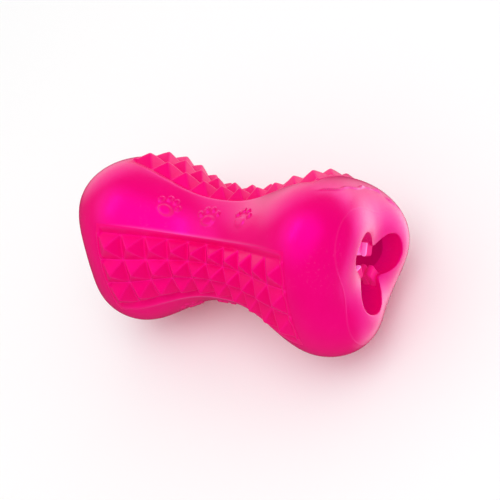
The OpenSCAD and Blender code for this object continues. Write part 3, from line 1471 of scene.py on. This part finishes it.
@dataclass(frozen=True)
class Camera:
    """The camera, by where the photograph was taken from."""

    azimuth: float = 58.908
    elevation: float = 47.518
    roll: float = -42.052
    distance: float = 449.478 * MM
    pixels_per_mm: float = 2.843
    picture: float = 500.0
    middle: tuple[float, float] = (237.392, 245.957)
    sensor: float = 36.0
    clip_start: float = 10 * MM

    def basis(self) -> tuple[Vector, Vector, Vector]:
        """Directions to the right of the picture, up in the picture and back to the camera.

        Returns:
            The three directions, each at right angles to the others.
        """
        turn, rise, roll = (
            math.radians(value) for value in (self.azimuth, self.elevation, self.roll)
        )
        back = Vector(
            (math.sin(turn) * math.cos(rise), -math.cos(turn) * math.cos(rise), math.sin(rise))
        )
        right = Vector((math.cos(turn), math.sin(turn), 0))
        up = back.cross(right)
        return (
            right * math.cos(roll) + up * math.sin(roll),
            up * math.cos(roll) - right * math.sin(roll),
            back,
        )

    def towards(self, shares: Sequence[float]) -> Vector:
        """Direction that is made up of shares of right, up and back in the picture."""
        return sum((axis * share for axis, share in zip(self.basis(), shares)), Vector()).normalized()

    def build(self, target: Vector) -> bpy.types.Object:
        """Makes the scene's camera.

        Args:
            target: Point that the picture's middle values belong to.

        Returns:
            The camera.
        """
        right, up, back = self.basis()
        data = bpy.data.cameras.new("photo_camera")
        data.sensor_width = self.sensor
        data.lens = self.pixels_per_mm / MM * self.distance * self.sensor / self.picture
        data.shift_x = 0.5 - self.middle[0] / self.picture
        data.shift_y = self.middle[1] / self.picture - 0.5
        data.clip_start = self.clip_start
        camera = add_object(data)
        camera.matrix_world = stand(target + back * self.distance, right, up, back)
        bpy.context.scene.camera = camera
        return camera


@dataclass(frozen=True)
class Softbox:
    """A soft studio light, placed by its direction in the picture, its height across that."""

    name: str
    direction: tuple[float, float, float]
    distance: float
    width: float
    height: float
    power: float
    use: LightUse = LightUse.BOTH

    def build(self, camera: Camera, target: Vector) -> bpy.types.Object:
        """Makes the light.

        Args:
            camera: The camera whose picture the direction is given in.
            target: Point that the light faces.

        Returns:
            The light.
        """
        towards = camera.towards(self.direction)
        along = towards.cross(camera.basis()[-1]).normalized()
        data = bpy.data.lights.new(self.name, "AREA")
        data.shape = "RECTANGLE"
        data.size, data.size_y = self.width, self.height
        data.energy = self.power
        light = add_object(data)
        light.visible_diffuse = self.use is not LightUse.GLOSS
        light.visible_glossy = self.use is not LightUse.MATT
        place = target + towards * self.distance
        light.matrix_world = stand(place, along.cross(towards), along, towards)
        return light


@dataclass(frozen=True)
class Backdrop:
    """A bright part of the surround, by its direction in the picture, that gloss mirrors."""

    direction: tuple[float, float, float]
    starts_at: float
    full_at: float
    strength: float


@dataclass
class Studio:
    """A plain pale floor, an even white surround and soft lights."""

    camera: Camera
    lights: tuple[Softbox, ...]
    backdrops: tuple[Backdrop, ...]
    target: Vector
    floor_size: float = 8.0
    floor_colour: Colour = (0.96, 0.955, 0.955)
    floor_roughness: float = 0.9
    floor_gloss: float = 0.1
    surround: float = 0.86
    glossy_dim: float = 0.07

    def build(self) -> list[bpy.types.Object]:
        """Builds the studio.

        Returns:
            The floor, the camera and the lights.
        """
        self._surround()
        bpy.context.scene.view_settings.view_transform = "Standard"
        lights = [light.build(self.camera, self.target) for light in self.lights]
        return [self._floor(), self.camera.build(self.target), *lights]

    def _floor(self) -> bpy.types.Object:
        """Makes the pale floor that the toy stands on.

        Returns:
            The floor.
        """
        draft = Draft()
        bmesh.ops.create_grid(draft.mesh, x_segments=1, y_segments=1, size=self.floor_size / 2)
        floor = draft.finish("studio_floor")
        bench = Bench("pale_floor")
        looks = {
            "Base Color": (*self.floor_colour, 1),
            "Roughness": self.floor_roughness,
            "Specular IOR Level": self.floor_gloss,
        }
        paint = bench.close(bench.node("ShaderNodeBsdfPrincipled", inputs=looks))
        floor.data.materials.append(paint)
        floor.visible_glossy = False
        return floor

    def _surround(self) -> None:
        """Lights the scene evenly, with bright backdrops mirrored in glossy surfaces."""
        world = bpy.data.worlds.new("studio_surround")
        bench = Bench(world.name, world)
        coords = bench.wire("ShaderNodeTexCoord", "Generated")
        parts = (self._brightness(bench, coords, part) for part in self.backdrops)
        even, mirrored = (
            bench.node("ShaderNodeBackground", inputs={"Color": (1, 1, 1, 1), "Strength": strength})
            for strength in (self.surround, sum(parts, self.glossy_dim))
        )
        is_glossy = bench.wire("ShaderNodeLightPath", "Is Glossy Ray")
        inputs = {0: is_glossy, 1: even.outputs[0], 2: mirrored.outputs[0]}
        chosen = bench.node("ShaderNodeMixShader", inputs=inputs)
        bench.node("ShaderNodeOutputWorld", inputs={"Surface": chosen.outputs[0]})
        bpy.context.scene.world = world

    def _brightness(self, bench: Bench, coords: Wire, part: Backdrop) -> Wire:
        """Wire of a backdrop's brightness over the directions around the toy.

        Args:
            bench: Bench of the surround.
            coords: Wire of the directions.
            part: The backdrop.

        Returns:
            The wire of the brightness.
        """
        settings = {"operation": "DOT_PRODUCT"}
        inputs = {0: coords, 1: self.camera.towards(part.direction)}
        facing = bench.wire("ShaderNodeVectorMath", "Value", settings, inputs)
        limits = {"From Min": part.starts_at, "From Max": part.full_at, "To Max": part.strength}
        fade = {"interpolation_type": "SMOOTHSTEP"}
        return bench.wire("ShaderNodeMapRange", "Result", fade, {"Value": facing, **limits})


SMOOTH_RUBBER = RubberFinish(
    name="smooth_pink_rubber",
    slot="smooth_rubber",
    colour=(0.93, 0.001, 0.18),
    deep_colour=(0.88, 0.0005, 0.155),
    # Painted highlight colour on rolled edges, paw prints and the parting bead, and its share
    painted_highlight_colour=(1.0, 0.2, 0.55),
    edge_share=0.5,
)
STUD_RUBBER = RubberFinish(
    name="stud_pink_rubber",
    slot="stud_rubber",
    colour=(0.92, 0.001, 0.172),
    deep_colour=(0.87, 0.0005, 0.15),
    # Painted highlight colour on stud ridges, tips and valleys, and its share
    painted_highlight_colour=(1.0, 0.03, 0.36),
    edge_share=0.25,
    gloss_tint=(0.6, 0.006, 0.7),
    roughness=0.31,
    ior=1.5,
)
FIN_RUBBER = RubberFinish(
    name="fin_pink_rubber",
    slot="fin_rubber",
    colour=(0.93, 0.001, 0.19),
    # Pale painted highlight on the up-facing fin sides at full share, and a strong painted glow
    deep_colour=(0.89, 0.0005, 0.17),
    painted_highlight_colour=(1.0, 0.4, 0.85),
    edge_share=1.0,
    roughness=0.5,
    ior=1.3,
    painted_glow_colour=(0.35, 0.02, 0.2),
)
LIGHTS = (
    Softbox("key_softbox", (0.35, 0.85, -0.3), 0.65, 0.3, 0.5, 0.42),
    Softbox("side_softbox", (-0.68, 0.36, 0.64), 0.7, 0.14, 0.45, 0.45, LightUse.GLOSS),
    Softbox("fill_softbox", (-0.3, 0.35, 0.89), 0.8, 0.6, 0.6, 1.7, LightUse.MATT),
)
BACKDROPS = (
    Backdrop((0.75, 0.5, -0.43), 0.66, 0.95, 1.25),
    Backdrop((0.9, -0.15, -0.4), 0.65, 0.92, 1.4),
    Backdrop((-0.6, 0.25, 0.75), 0.6, 0.98, 2.1),
    Backdrop((-0.42, 0.75, -0.5), 0.72, 0.98, 1.1),
)


def main() -> None:
    """Builds the toy and its studio and reports each piece."""
    logging.basicConfig(level=logging.INFO, format="%(name)s: %(message)s")
    base_fin_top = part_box("fin_right_base_outer")[1].z
    form = BoneForm(axis_z=base_fin_top + Fins.clear_r, half_length=cad_box[1].x)
    middle = Vector((0, 0, form.axis_z))
    builders = (
        Shell(form, SMOOTH_RUBBER, STUD_RUBBER),
        Fins(form, FIN_RUBBER),
        Studio(Camera(), LIGHTS, BACKDROPS, middle),
    )
    for builder in builders:
        for piece in builder.build():
            faces = len(piece.data.polygons) if piece.type == "MESH" else 0
            LOG.info("%s built %s, %d faces", type(builder).__name__, piece.name, faces)


if __name__ == "__main__":
    main()
